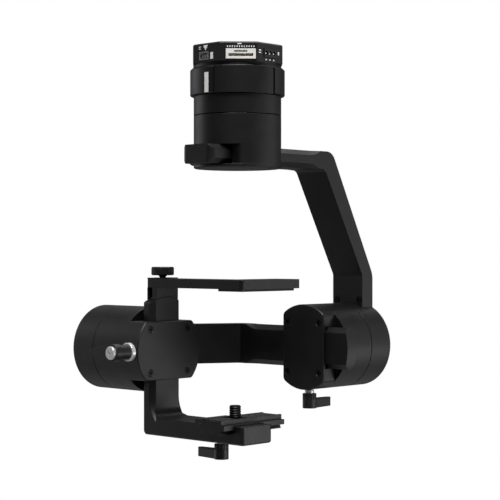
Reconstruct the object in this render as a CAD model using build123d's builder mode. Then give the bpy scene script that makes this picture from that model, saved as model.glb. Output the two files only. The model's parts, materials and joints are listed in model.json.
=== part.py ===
"""Three-axis camera gimbal: three direct-drive motor modules, two swept arms and a camera cage.

Frame: +Z up, origin at the centre of the top mounting face on the yaw axis.
The camera looks along -Y and +X is the gimbal's left. Millimetres.
"""
import os

from build123d import *

# ---- drive axes -------------------------------------------------------------------------
ROLL_AXIS_Z = -162.9     # height of the roll axis
TILT_AXIS_Z = -164.5     # height of the tilt axis, a little lower because the tilt motor hangs on its arm
YAW_FACE_Z = -65.0       # outer face of the yaw end plate
ROLL_FACE_Y = 52.7       # outer face of the roll clamp plate
TILT_FACE_X = -52.8      # outer face of the tilt clamp plate

# ---- motor module, measured along its own axis from the clamp plate's outer face ---------
PLATE_T = 1.6            # clamp plate thickness
SLIDE_GAP = 0.1          # gap between a rail and every face that guides it
CORNER_R = 3.0           # rounded corners where a clamp block's flats meet its arcs
HOUSING_WALL = 2.0       # wall of the rotor bell and of the stator cap
ROTOR_FLOOR = 3.0        # floor of the rotor bell
SPLIT_GAP = 0.5          # visible line between rotor bell and stator housing
STATOR_FLOOR = 3.0       # floor of the stator housing
SHAFT_R = 4.0            # hollow motor shaft
SHAFT_BORE_R = 2.5       # cable bore through the shaft
SHAFT_FIT = 0.05         # running clearance of shaft to bearing
BEARING_R = 7.0          # bearing outer radius
BEARING_T = 4.0          # bearing width
TUBE_R = 9.0             # stator tube that carries the bearings
MAGNET_T = 1.2           # magnet ring thickness
AIR_GAP = 0.4            # between tooth tips and magnets
TOOTH_COUNT = 12         # stator teeth
TOOTH_W = 2.8            # tooth width
TIP_T = 1.6              # radial depth of a tooth tip
TIP_W = 7.2              # width of a tooth tip
YOKE_R = 11.6            # outside of the stator yoke
COIL_T = 1.4             # build-up of a coil round its tooth
COIL_GAP = 0.05          # slot liner between coil and tooth
PLATE_SCREW_Y = 14.0     # clamp plate screws, half spacing across the rail
M2_R = 1.0               # M2 thread
M2_HEAD_R = 2.0          # M2 countersunk head
M2_LENGTH = 6.0          # M2 screw length
M2_KEY_R = 0.65          # hex socket of an M2 screw
CAP_SCREW_R = 18.2       # pitch radius of the rear cover screws
CAP_BOSS_R = 2.7         # screw boss inside the stator cap

# ---- rails ----------------------------------------------------------------------------------
YAW_RAIL_W = 22.0        # yaw arm rail, across
YAW_RAIL_T = 10.0        # yaw arm rail, thickness
SIDE_RAIL_W = 22.9       # roll arm and cage rails, across
SIDE_RAIL_T = 8.0        # roll arm and cage rails, thickness
BEVEL = 2.8              # long bevels of every rail
RUN_OUT_R = 24.0         # arc on which a bevel dies out
ROLL_END_R = 31.2        # the roll rail ends on an arc round the roll axis

# ---- yaw arm --------------------------------------------------------------------------------
YAW_ARM_FRONT = -31.0    # front end of the rail
YAW_ARM_BEVEL_END = 46.0 # the straight part of the bevels ends here
YAW_ARM_OUT = 101.2      # outer face of the vertical leg
YAW_ARM_IN = 91.9        # inner face of the vertical leg
YAW_ARM_CORNER_Y = 65.3  # where the outer faces of rail and sloping leg would meet
YAW_ARM_INNER_Y = 59.1
YAW_ARM_KNEE_OUT_Z = -122.5
YAW_ARM_KNEE_IN_Z = -122.6
TONGUE_T = 4.2           # tongue of the roll motor inside the arm's end
TONGUE_W = 19.0
TONGUE_TOP_Z = -131.5
ARM_SCREW_X = 8.2        # the two arm end screws, half spacing
ARM_SCREW_Z = -137.0

# ---- roll arm -------------------------------------------------------------------------------
ROLL_ARM_CORNER_X = -50.9
ROLL_ARM_ELBOW = (-65.6, 30.0)
ROLL_ARM_INNER_Y = 26.4  # inner face beside the tilt motor
ROLL_ARM_END_X = -106.4
ROLL_ARM_FOOT_X = -91.6  # the foot that sits on the tilt motor's cap starts here

# ---- camera cage ----------------------------------------------------------------------------
CAGE_OUT_X = -62.3       # back of the upright
CAGE_IN_X = -54.5        # front of the upright
CAGE_FLARE_Z = -190.6    # from here down the bevels die out to the full section
CAGE_FLOOR_Z = -211.2    # underside of the lower arm
CAGE_TOP_Z = -201.6      # top of the lower arm
CAGE_END_X = 14.9        # free end of the lower arm
CAGE_HALF_W = 11.45      # half width of upright and lower arm
CAGE_PEAK_Z = -134.6     # crown of the upright's rounded top
CAGE_TOP_R = 20.0        # radius of that top
CAGE_BACK_BEVEL = 0.8    # small bevels on the upright's back edges
FIXED_JAW_X = 9.75       # the fixed jaw at the free end starts here
FIXED_JAW_TOP_Z = -201.5
SEAT_Z = -203.2          # seat of the quick-release plate
SEAT_X = -10.2           # where the seat starts
POST_HALF_W = 8.15       # upper post and support bar, half width
POST_GAP = 0.2           # between the post and the upright's rounded top
BAR_BOTTOM_Z = -129.4
BAR_TOP_Z = -124.4
BAR_END_X = 11.1
FOOT_X = -8.0            # the support foot runs back from the bar here
FOOT_Y = 38.5
TONGUE2_T = 4.0          # height-adjusting tongue of the post
TONGUE2_W = 9.0
TONGUE2_BOTTOM_Z = -147.0

# ---- quick-release plate --------------------------------------------------------------------
QR_FRONT_Y = -20.0
QR_REAR_Y = 26.8
QR_TOP_Z = -197.8
QR_LIP_X = 7.4           # half width of the raised deck
QR_FLANGE_X = 9.5        # half width of the clamped flange
QR_FLANGE_TOP_Z = -200.4
QR_KEY_X = 7.0           # half width of the guiding key
QR_KEY_Z = -205.4        # underside of the key
CAMERA_SCREW_Y = -1.8
CAMERA_SCREW_R = 3.175   # quarter-inch camera thread
CAMERA_SCREW_TOP_Z = -191.4
CAMERA_SHANK_R = 2.7     # undercut shank that keeps the screw captive in the plate

# ---- base -----------------------------------------------------------------------------------
YAW_R = 23.4
ROLL_R = 24.0
TILT_R = 24.1
OCT_APOTHEM = 23.65
OCT_H = 10.1
COLLAR_R = 25.3
COLLAR_LOW_R = 24.85
COLLAR_TOP_Z = -11.9
COLLAR_BOTTOM_Z = -26.5
NECK_R = 21.4
NECK_FIT = 0.35
MOUNT_PCD = 34.0
MOUNT_HOLE_R = 1.5
MOUNT_HOLE_DEPTH = 6.0
INDEX_ANGLE = 4.0        # the collar's index mark, degrees from the front towards +X
HEADER_SHIFT = 1.3

os.makedirs("parts", exist_ok=True)


class Module:
    """Axis plane and depths of one motor module."""

    def __init__(self, name, plane, radius, flat, screw_x, rail_t, rail_w, shoulder, parting, end, tab_dir):
        self.name = name
        self.flat = flat
        self.screw_x = screw_x
        self.plane = plane
        self.tab_dir = tab_dir
        self.radius = radius
        self.slot_end = PLATE_T + rail_t + 2 * SLIDE_GAP
        self.slot_mid = PLATE_T + SLIDE_GAP + rail_t / 2
        self.channel = rail_w / 2 + SLIDE_GAP
        self.shoulder = shoulder
        self.parting = parting
        self.end = end
        self.bell_r = radius - HOUSING_WALL
        self.tip_r = self.bell_r - MAGNET_T - AIR_GAP
        self.core_start = shoulder + ROTOR_FLOOR + 2.0
        self.core_end = parting - 1.6

    def at(self, depth):
        """Plane across the module axis at a depth from the clamp plate's face."""
        return self.plane.offset(depth)

    def side(self, distance):
        """Plane across the clamp lever's axis, x along the lever's tab."""
        origin = self.plane.from_local_coords((0, distance, self.slot_mid))
        return Plane(origin=origin, x_dir=self.tab_dir, z_dir=self.plane.y_dir)


def save(part, name):
    """Label a sub-part and write its STEP file."""
    part.label = name
    export_step(part, "parts/" + name + ".step")


def clamp_outline(module, flats):
    """Outline of clamp plate and clamp block: a circle, with two flats and eased corners where asked."""
    with BuildSketch() as outline:
        Circle(module.radius)
        if flats:
            Rectangle(2 * module.flat, 3 * module.radius, mode=Mode.INTERSECT)
            fillet(outline.vertices(), CORNER_R)
    return outline.sketch


def clamp_plate(module, flats):
    """Outer plate that closes the rail slot, with four countersunk holes."""
    with BuildPart() as plate:
        with BuildSketch(module.at(0)):
            add(clamp_outline(module, flats))
        extrude(amount=PLATE_T)
        chamfer(plate.faces().sort_by(Axis(module.plane.origin, module.plane.z_dir))[0].edges(), 0.5)
        with Locations(module.plane * Rotation(180, 0, 0)):
            with GridLocations(2 * module.screw_x, 2 * PLATE_SCREW_Y, 2, 2):
                CounterSinkHole(M2_R + 0.1, M2_HEAD_R + 0.1, depth=PLATE_T)
    return plate.part


def plate_screws(module):
    """Four countersunk hex socket screws that hold the clamp plate."""
    with BuildPart() as screws:
        with BuildSketch(module.at(0.15)):
            with GridLocations(2 * module.screw_x, 2 * PLATE_SCREW_Y, 2, 2):
                Circle(M2_HEAD_R - 0.15)
        extrude(amount=M2_HEAD_R - M2_R, taper=45)
        with BuildSketch(module.at(0.15 + M2_HEAD_R - M2_R)):
            with GridLocations(2 * module.screw_x, 2 * PLATE_SCREW_Y, 2, 2):
                Circle(M2_R - 0.15)
        extrude(amount=M2_LENGTH - 1.0)
        with BuildSketch(module.at(0.15)):
            with GridLocations(2 * module.screw_x, 2 * PLATE_SCREW_Y, 2, 2):
                RegularPolygon(M2_KEY_R, 6)
        extrude(amount=0.8, mode=Mode.SUBTRACT)
    return screws.part


def rotor_housing(module):
    """Clamp block with the rail channel, and the rotor bell behind it."""
    with BuildPart() as bell:
        with BuildSketch(module.at(PLATE_T)):
            add(clamp_outline(module, flats=True))
        extrude(amount=module.shoulder - PLATE_T)
        with BuildSketch(module.at(module.shoulder)):
            Circle(module.radius)
        extrude(amount=module.parting - module.shoulder)
        with BuildSketch(module.at(PLATE_T)):
            Rectangle(3 * module.radius, 2 * module.channel)
        extrude(amount=module.slot_end - PLATE_T, mode=Mode.SUBTRACT)
        with BuildSketch(module.at(module.shoulder + ROTOR_FLOOR)):
            Circle(module.bell_r)
        extrude(amount=module.parting, mode=Mode.SUBTRACT)
        with BuildSketch(module.at(PLATE_T)):
            Circle(SHAFT_R)
        extrude(amount=module.parting, mode=Mode.SUBTRACT)
        with BuildSketch(module.at(PLATE_T)):
            with GridLocations(2 * module.screw_x, 2 * PLATE_SCREW_Y, 2, 2):
                Circle(M2_R - 0.1)
        extrude(amount=M2_LENGTH, mode=Mode.SUBTRACT)
        with BuildSketch(module.side(module.channel - 1)):
            Circle(STUD_R + 0.1)
        extrude(amount=module.radius, mode=Mode.SUBTRACT)
    return bell.part


def magnet_ring(module):
    """Ring magnet bonded inside the rotor bell."""
    with BuildPart() as ring:
        with BuildSketch(module.at(module.core_start - 1.0)):
            Circle(module.bell_r)
            Circle(module.bell_r - MAGNET_T, mode=Mode.SUBTRACT)
        extrude(amount=module.core_end - module.core_start + 2.0)
    return ring.part


def shaft(module, tail):
    """Hollow shaft pressed into the rotor floor."""
    with BuildPart() as tube:
        with BuildSketch(module.at(module.shoulder + 0.4)):
            Circle(SHAFT_R)
            Circle(SHAFT_BORE_R, mode=Mode.SUBTRACT)
        extrude(amount=module.parting + tail - module.shoulder - 0.4)
    return tube.part


def bearings(module):
    """Two plain-bore ball bearings in the stator tube."""
    with BuildPart() as pair:
        for depth in (module.shoulder + ROTOR_FLOOR + 1.2, module.parting - 1.8):
            with BuildSketch(module.at(depth)):
                Circle(BEARING_R)
                Circle(SHAFT_R + SHAFT_FIT, mode=Mode.SUBTRACT)
            extrude(amount=BEARING_T)
    return pair.part


def stator_core(module):
    """Laminated stator with twelve toothed poles."""
    with BuildPart() as core:
        with BuildSketch(module.at(module.core_start)):
            Circle(YOKE_R)
            with PolarLocations((YOKE_R + module.tip_r) / 2, TOOTH_COUNT):
                Rectangle(module.tip_r - YOKE_R + 1.0, TOOTH_W)
            with PolarLocations(module.tip_r - TIP_T / 2, TOOTH_COUNT):
                Rectangle(TIP_T, TIP_W)
            Circle(module.tip_r, mode=Mode.INTERSECT)
            Circle(TUBE_R, mode=Mode.SUBTRACT)
        extrude(amount=module.core_end - module.core_start)
    return core.part


def windings(module):
    """Twelve coils, one round each tooth."""
    inner = YOKE_R + 0.4
    outer = module.tip_r - TIP_T - 0.2
    height = module.core_end - module.core_start
    with BuildPart() as coils:
        with BuildSketch(module.at(module.core_start - COIL_T)):
            with PolarLocations((inner + outer) / 2, TOOTH_COUNT):
                Rectangle(outer - inner, TOOTH_W + 2 * COIL_T)
        extrude(amount=height + 2 * COIL_T)
        with BuildSketch(module.at(module.core_start - COIL_GAP)):
            with PolarLocations((inner + outer) / 2, TOOTH_COUNT):
                Rectangle(outer - inner + 2, TOOTH_W + 2 * COIL_GAP)
        extrude(amount=height + 2 * COIL_GAP, mode=Mode.SUBTRACT)
    return coils.part


def stator_tube(module):
    """Bearing tube and floor of a stator housing."""
    with BuildPart() as tube:
        with BuildSketch(module.at(module.parting + SPLIT_GAP)):
            Circle(module.radius)
        extrude(amount=STATOR_FLOOR)
        with BuildSketch(module.at(module.shoulder + ROTOR_FLOOR + 1.0)):
            Circle(TUBE_R)
        extrude(amount=module.parting - module.shoulder - ROTOR_FLOOR)
        with BuildSketch(module.at(module.shoulder)):
            Circle(BEARING_R)
        extrude(amount=module.parting - module.shoulder + 2.2, mode=Mode.SUBTRACT)
        with BuildSketch(module.at(module.shoulder)):
            Circle(SHAFT_R + 0.6)
        extrude(amount=module.end, mode=Mode.SUBTRACT)
    return tube.part


def cap_housing(module):
    """Closed stator housing of the roll and tilt motors, without its lug."""
    back = module.end - PLATE_T
    with BuildPart() as cap:
        add(stator_tube(module))
        with BuildSketch(module.at(module.parting + SPLIT_GAP)):
            Circle(module.radius)
            Circle(module.radius - HOUSING_WALL, mode=Mode.SUBTRACT)
            with PolarLocations(CAP_SCREW_R, 4, start_angle=45):
                Circle(CAP_BOSS_R)
        extrude(amount=back - module.parting - SPLIT_GAP)
        with BuildSketch(module.at(back)):
            with PolarLocations(CAP_SCREW_R, 4, start_angle=45):
                Circle(M2_R - 0.1)
        extrude(amount=-M2_LENGTH, mode=Mode.SUBTRACT)
    return cap.part


def rear_cover(module):
    """Back cover of a stator cap."""
    with BuildPart() as cover:
        with BuildSketch(module.at(module.end - PLATE_T)):
            Circle(module.radius)
        extrude(amount=PLATE_T)
        chamfer(cover.faces().sort_by(Axis(module.plane.origin, module.plane.z_dir))[-1].edges(), 0.6)
        with Locations(module.at(module.end)):
            with PolarLocations(CAP_SCREW_R, 4, start_angle=45):
                CounterSinkHole(M2_R + 0.1, M2_HEAD_R + 0.1, depth=PLATE_T)
    return cover.part


def cover_screws(module):
    """Four countersunk screws of the rear cover."""
    with BuildPart() as screws:
        with BuildSketch(module.at(module.end - 0.15)):
            with PolarLocations(CAP_SCREW_R, 4, start_angle=45):
                Circle(M2_HEAD_R - 0.15)
        extrude(amount=-(M2_HEAD_R - M2_R), taper=45)
        with BuildSketch(module.at(module.end - 0.15 - M2_HEAD_R + M2_R)):
            with PolarLocations(CAP_SCREW_R, 4, start_angle=45):
                Circle(M2_R - 0.15)
        extrude(amount=-(M2_LENGTH - 1.5))
        with BuildSketch(module.at(module.end - 0.15)):
            with PolarLocations(CAP_SCREW_R, 4, start_angle=45):
                RegularPolygon(M2_KEY_R, 6)
        extrude(amount=-0.8, mode=Mode.SUBTRACT)
    return screws.part


# ---- clamp levers ---------------------------------------------------------------------------
STUD_R = 1.6             # clamp lever stud
LEVER_GAP = 2.3          # bright stud showing between body and hub
HUB_R = 3.9              # lever hub
HUB_H = 8.2
TAB_LENGTH = 17.3        # axis to the end of the tab
TAB_TIP_R = 1.7
TAB_H = 5.0
HUB_TEETH = 14


def lever_stud(plane, reach, gap):
    """Threaded stud and the collar under the hub."""
    with BuildPart() as stud:
        with BuildSketch(plane.offset(-reach)):
            Circle(STUD_R)
        extrude(amount=reach + gap + 1.0)
        with BuildSketch(plane.offset(0.3)):
            Circle(STUD_R + 0.9)
        extrude(amount=gap - 0.3)
    return stud.part


def clamp_lever(plane, reach, gap):
    """Serrated hub moulded on its stud, with a tapering tab along the plane's x axis."""
    with BuildPart() as lever:
        with BuildSketch(plane.offset(gap)):
            Circle(HUB_R)
        extrude(amount=HUB_H)
        with BuildSketch(plane.offset(gap)):
            with PolarLocations(HUB_R, HUB_TEETH):
                Circle(0.35)
        extrude(amount=HUB_H - TAB_H, mode=Mode.SUBTRACT)
        with BuildSketch(plane.offset(gap + HUB_H - TAB_H - 0.2)):
            with BuildLine():
                Polyline((0, HUB_R - 0.4), (TAB_LENGTH - TAB_TIP_R, TAB_TIP_R),
                         (TAB_LENGTH - TAB_TIP_R, -TAB_TIP_R), (0, -HUB_R + 0.4), close=True)
            make_face()
            with Locations((TAB_LENGTH - TAB_TIP_R, 0)):
                Circle(TAB_TIP_R)
        extrude(amount=TAB_H)
        add(lever_stud(plane, reach, gap))
    return lever.part


# ---- motor modules --------------------------------------------------------------------------
YAW = Module("yaw", Plane(origin=(0, 0, YAW_FACE_Z), x_dir=(0, 1, 0), z_dir=(0, 0, 1)),
             YAW_R, 15.8, 11.5, YAW_RAIL_T, YAW_RAIL_W, shoulder=11.9, parting=27.8, end=38.2, tab_dir=(0, 1, 0))
ROLL = Module("roll", Plane(origin=(0, ROLL_FACE_Y, ROLL_AXIS_Z), x_dir=(1, 0, 0), z_dir=(0, 1, 0)),
              ROLL_R, 15.1, 11.5, SIDE_RAIL_T, SIDE_RAIL_W, shoulder=10.0, parting=31.6, end=49.2, tab_dir=(0, 1, 0))
TILT = Module("tilt", Plane(origin=(TILT_FACE_X, 0, TILT_AXIS_Z), x_dir=(0, 0, -1), z_dir=(-1, 0, 0)),
              TILT_R, 16.4, 12.1, SIDE_RAIL_T, SIDE_RAIL_W, shoulder=13.1, parting=37.2, end=55.1, tab_dir=(-1, 0, 0))

for motor in (YAW, ROLL, TILT):
    save(clamp_plate(motor, flats=motor is not YAW), motor.name + "_clamp_plate")
    save(plate_screws(motor), motor.name + "_plate_screws")
    save(rotor_housing(motor), motor.name + "_rotor_housing")
    save(magnet_ring(motor), motor.name + "_magnet_ring")
    save(shaft(motor, tail=2.2), motor.name + "_shaft")
    save(bearings(motor), motor.name + "_bearings")
    save(stator_core(motor), motor.name + "_stator_core")
    save(windings(motor), motor.name + "_windings")

for motor in (ROLL, TILT):
    save(rear_cover(motor), motor.name + "_rear_cover")
    save(cover_screws(motor), motor.name + "_cover_screws")

# ---- yaw stator and base --------------------------------------------------------------------
STATOR_TOP_Z = -26.8     # shoulder under the release collar
BLOCK_BASE_Z = -11.7     # underside of the connector block's round base
NECK_WALL = 2.0

with BuildPart() as yaw_stator_housing:
    add(stator_tube(YAW))
    with BuildSketch(YAW.at(YAW.parting + SPLIT_GAP)):
        Circle(YAW_R)
        Circle(NECK_R - NECK_WALL, mode=Mode.SUBTRACT)
    extrude(amount=YAW.end - YAW.parting - SPLIT_GAP)
    with BuildSketch(Plane.XY.offset(STATOR_TOP_Z)):
        Circle(NECK_R)
        Circle(NECK_R - NECK_WALL, mode=Mode.SUBTRACT)
    extrude(amount=BLOCK_BASE_Z - STATOR_TOP_Z)
save(yaw_stator_housing.part, "yaw_stator_housing")

BLOCK_CAVITY_R = 13.0
BLOCK_ROOF = 3.0
BASE_RING_R = 23.2
HEADER_W = 15.6
HEADER_H = 5.2
HEADER_DEPTH = 4.6
HEADER_Z = -6.5
PORT_W = 7.0
PORT_H = 4.4
PORT_Z = -6.7
PORT_X = -1.4
SOCKET_W = 9.2
SOCKET_H = 4.7
SOCKET_Z = -5.4
CONNECTOR_DEPTH = 3.4
LED_X = 4.1
LED_Z = -7.0
LED_W = 2.0
LED_H = 3.6
POCKET_GAP = 0.05

FRONT_FACET = Plane(origin=(0, -OCT_APOTHEM, 0), x_dir=(1, 0, 0), z_dir=(0, -1, 0))
MIDDLE_FACET = Plane(origin=(OCT_APOTHEM * 0.5**0.5, -OCT_APOTHEM * 0.5**0.5, 0),
                     x_dir=(1, 1, 0), z_dir=(1, -1, 0))
LEFT_FACET = Plane(origin=(OCT_APOTHEM, 0, 0), x_dir=(0, 1, 0), z_dir=(1, 0, 0))

with BuildPart() as connector_block:
    with BuildSketch(Plane.XY.offset(-OCT_H)):
        RegularPolygon(OCT_APOTHEM, 8, major_radius=False, rotation=22.5)
    extrude(amount=OCT_H)
    chamfer(connector_block.faces().sort_by(Axis.Z)[-1].edges(), 0.7)
    with BuildSketch(Plane.XY.offset(BLOCK_BASE_Z)):
        Circle(BASE_RING_R)
    extrude(amount=-OCT_H - BLOCK_BASE_Z)
    with BuildSketch(Plane.XY.offset(BLOCK_BASE_Z)):
        Circle(BLOCK_CAVITY_R)
    extrude(amount=-BLOCK_ROOF - BLOCK_BASE_Z, mode=Mode.SUBTRACT)
    with BuildSketch(Plane.XY):
        with PolarLocations(MOUNT_PCD / 2, 4, start_angle=45):
            Circle(MOUNT_HOLE_R)
    extrude(amount=-MOUNT_HOLE_DEPTH, mode=Mode.SUBTRACT)
    with BuildSketch(MIDDLE_FACET):
        with Locations((HEADER_SHIFT, HEADER_Z)):
            Rectangle(HEADER_W + 2 * POCKET_GAP, HEADER_H + 2 * POCKET_GAP)
    extrude(amount=-HEADER_DEPTH, mode=Mode.SUBTRACT)
    with BuildSketch(FRONT_FACET):
        with Locations((PORT_X, PORT_Z)):
            Rectangle(PORT_W + 2 * POCKET_GAP, PORT_H + 2 * POCKET_GAP)
        with Locations((LED_X, LED_Z)):
            Rectangle(LED_W + 2 * POCKET_GAP, LED_H + 2 * POCKET_GAP)
    extrude(amount=-CONNECTOR_DEPTH, mode=Mode.SUBTRACT)
    with BuildSketch(LEFT_FACET):
        with Locations((0, SOCKET_Z)):
            Rectangle(SOCKET_W + 2 * POCKET_GAP, SOCKET_H + 2 * POCKET_GAP)
    extrude(amount=-CONNECTOR_DEPTH, mode=Mode.SUBTRACT)
save(connector_block.part, "connector_block")

HEADER_PROUD = 0.5
PIN_PITCH = 1.25
PIN_COUNT = 10
SLOT_DEPTH = 3.2
SLOT_W = 12.9
SLOT_H = 1.5
SLOT_Z = -7.1
KEY_SLOT_W = 6.8
KEY_SLOT_H = 0.9
KEY_SLOT_Z = -5.2

with BuildPart() as header_body:
    with BuildSketch(MIDDLE_FACET.offset(HEADER_PROUD)):
        with Locations((HEADER_SHIFT, HEADER_Z)):
            Rectangle(HEADER_W, HEADER_H)
    extrude(amount=-HEADER_DEPTH - HEADER_PROUD)
    with BuildSketch(MIDDLE_FACET.offset(HEADER_PROUD)):
        with Locations((HEADER_SHIFT, SLOT_Z)):
            Rectangle(SLOT_W, SLOT_H)
        with Locations((HEADER_SHIFT, KEY_SLOT_Z)):
            Rectangle(KEY_SLOT_W, KEY_SLOT_H)
    extrude(amount=-SLOT_DEPTH, mode=Mode.SUBTRACT)
save(header_body.part, "header_body")

with BuildPart() as header_pins:
    with BuildSketch(MIDDLE_FACET.offset(HEADER_PROUD - SLOT_DEPTH)):
        with Locations((HEADER_SHIFT, SLOT_Z)):
            with GridLocations(PIN_PITCH, 1, PIN_COUNT, 1):
                Rectangle(0.45, 0.5)
    extrude(amount=SLOT_DEPTH - 0.7)
save(header_pins.part, "header_pins")

with BuildPart() as aux_port:
    with BuildSketch(FRONT_FACET.offset(0.3)):
        with Locations((PORT_X, PORT_Z)):
            Rectangle(PORT_W, PORT_H)
    extrude(amount=-CONNECTOR_DEPTH - 0.3)
    with BuildSketch(FRONT_FACET.offset(0.3)):
        with Locations((PORT_X, PORT_Z)):
            Rectangle(PORT_W - 1.4, PORT_H - 1.6)
    extrude(amount=-2.2, mode=Mode.SUBTRACT)
    with BuildSketch(FRONT_FACET.offset(-1.9)):
        with Locations((PORT_X, PORT_Z)):
            Rectangle(PORT_W - 2.6, 0.8)
    extrude(amount=1.5)
save(aux_port.part, "aux_port")

SOCKET_PIN_R = 0.75
SOCKET_PITCH = 2.9

with BuildPart() as power_socket:
    with BuildSketch(LEFT_FACET.offset(0.4)):
        with Locations((0, SOCKET_Z)):
            Rectangle(SOCKET_W, SOCKET_H)
    extrude(amount=-CONNECTOR_DEPTH - 0.4)
    with BuildSketch(LEFT_FACET.offset(0.4)):
        with Locations((0, SOCKET_Z)):
            with GridLocations(SOCKET_PITCH, 1, 3, 1):
                Circle(SOCKET_PIN_R + 0.35)
    extrude(amount=-2.4, mode=Mode.SUBTRACT)
save(power_socket.part, "power_socket")

with BuildPart() as status_led:
    with BuildSketch(FRONT_FACET.offset(0.1)):
        with Locations((LED_X, LED_Z)):
            Rectangle(LED_W, LED_H)
    extrude(amount=-CONNECTOR_DEPTH - 0.1)
save(status_led.part, "status_led")

BOARD_R = 18.0
BOARD_Z = -14.6

with BuildPart() as controller_board:
    with BuildSketch(Plane.XY.offset(BOARD_Z)):
        Circle(BOARD_R)
    extrude(amount=1.2)
    with BuildSketch(Plane.XY.offset(BOARD_Z + 1.2)):
        with GridLocations(9, 8, 2, 2):
            Rectangle(5.5, 4.5)
    extrude(amount=1.3)
save(controller_board.part, "controller_board")

SLIP_RING_R = 7.5
SLIP_RING_FLANGE_R = 11.0
SLIP_RING_H = 15.0

with BuildPart() as slip_ring:
    with BuildSketch(YAW.at(YAW.parting + SPLIT_GAP + STATOR_FLOOR)):
        Circle(SLIP_RING_FLANGE_R)
    extrude(amount=1.6)
    with BuildSketch(YAW.at(YAW.parting + SPLIT_GAP + STATOR_FLOOR)):
        Circle(SLIP_RING_R)
    extrude(amount=SLIP_RING_H)
save(slip_ring.part, "slip_ring")

# ---- release collar -------------------------------------------------------------------------
LOW_ARC_START = -75.7    # direction of the first groove, from +X
LOW_ARC_END = 4.2        # direction of the second groove
GROOVE_W = 0.9
GROOVE_DEPTH = 0.5
INDEX_W = 2.7
INDEX_DEPTH = 0.8
INDEX_TOP_Z = -15.6


def wedge(start, end, reach):
    """Sector-shaped face from the centre."""
    middle = (start + end) / 2
    rays = [Vector(reach, 0, 0).rotate(Axis.Z, angle) for angle in (start, middle, end)]
    with BuildSketch() as sector:
        with BuildLine():
            Polyline((0, 0, 0), *rays, close=True)
        make_face()
    return sector.sketch


with BuildPart() as release_collar:
    with BuildSketch(Plane.XY.offset(COLLAR_BOTTOM_Z)):
        Circle(COLLAR_R)
    extrude(amount=COLLAR_TOP_Z - COLLAR_BOTTOM_Z)
    chamfer(release_collar.edges().sort_by(Axis.Z)[-1], 1.0)
    chamfer(release_collar.edges().sort_by(Axis.Z)[0], 0.4)
    for turn in (0, 180):
        with BuildSketch(Plane.XY.offset(COLLAR_BOTTOM_Z)):
            add(wedge(LOW_ARC_START + turn, LOW_ARC_END + turn, 2 * COLLAR_R))
            Circle(COLLAR_LOW_R, mode=Mode.SUBTRACT)
        extrude(amount=COLLAR_TOP_Z - COLLAR_BOTTOM_Z, mode=Mode.SUBTRACT)
        for edge in (LOW_ARC_START, LOW_ARC_END):
            with BuildSketch(Plane.XY.offset(COLLAR_BOTTOM_Z)):
                with Locations(Rotation(0, 0, edge + turn) * Pos(COLLAR_R, 0)):
                    Rectangle(2 * (GROOVE_DEPTH + COLLAR_R - COLLAR_LOW_R), GROOVE_W)
            extrude(amount=COLLAR_TOP_Z - COLLAR_BOTTOM_Z, mode=Mode.SUBTRACT)
    with BuildSketch(Plane.XY.offset(COLLAR_BOTTOM_Z)):
        with Locations(Rotation(0, 0, INDEX_ANGLE - 90) * Pos(COLLAR_R, 0)):
            Rectangle(2 * INDEX_DEPTH, INDEX_W + 2 * POCKET_GAP)
    extrude(amount=INDEX_TOP_Z - COLLAR_BOTTOM_Z, mode=Mode.SUBTRACT)
    with BuildSketch(Plane.XY.offset(COLLAR_BOTTOM_Z)):
        Circle(NECK_R + NECK_FIT)
    extrude(amount=COLLAR_TOP_Z - COLLAR_BOTTOM_Z, mode=Mode.SUBTRACT)
save(release_collar.part, "release_collar")

with BuildPart() as collar_index:
    with BuildSketch(Plane.XY.offset(COLLAR_BOTTOM_Z + 0.4)):
        with Locations(Rotation(0, 0, INDEX_ANGLE - 90) * Pos(COLLAR_R, 0)):
            Rectangle(2 * INDEX_DEPTH - 0.02, INDEX_W)
        Circle(COLLAR_R + 0.04, mode=Mode.INTERSECT)
    extrude(amount=INDEX_TOP_Z - COLLAR_BOTTOM_Z - 0.4 - POCKET_GAP)
save(collar_index.part, "collar_index")


# ---- levers of the yaw and roll clamps ------------------------------------------------------
for motor in (YAW, ROLL):
    reach = motor.radius - motor.channel - 0.6
    save(clamp_lever(motor.side(motor.radius), reach, LEVER_GAP), motor.name + "_clamp_lever")

# ---- tilt clamp: large lever with a bright washer and screw ---------------------------------
TILT_WASHER_R = 5.1
TILT_WASHER_H = 2.6
TILT_HUB_R = 4.15
TILT_HUB_H = 6.6
TILT_TAB_R = 4.8
TILT_TAB_H = 4.2
TILT_TAB_LENGTH = 18.6
TILT_TAB_TIP_R = 1.6
TILT_SCREW_R = 3.6
TILT_SCREW_H = 1.7
TILT_SEAT = 0.3          # washer face from the housing surface

tilt_side = TILT.side(TILT_R)
hub_start = TILT_SEAT + TILT_WASHER_H
tab_start = hub_start + TILT_HUB_H
screw_start = tab_start + TILT_TAB_H

with BuildPart() as tilt_clamp_washer:
    with BuildSketch(tilt_side.offset(TILT_SEAT)):
        Circle(TILT_WASHER_R)
        Circle(STUD_R, mode=Mode.SUBTRACT)
    extrude(amount=TILT_WASHER_H)
    chamfer(tilt_clamp_washer.edges().filter_by(GeomType.CIRCLE).sort_by(SortBy.RADIUS)[-2:], 0.4)
save(tilt_clamp_washer.part, "tilt_clamp_washer")

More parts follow.
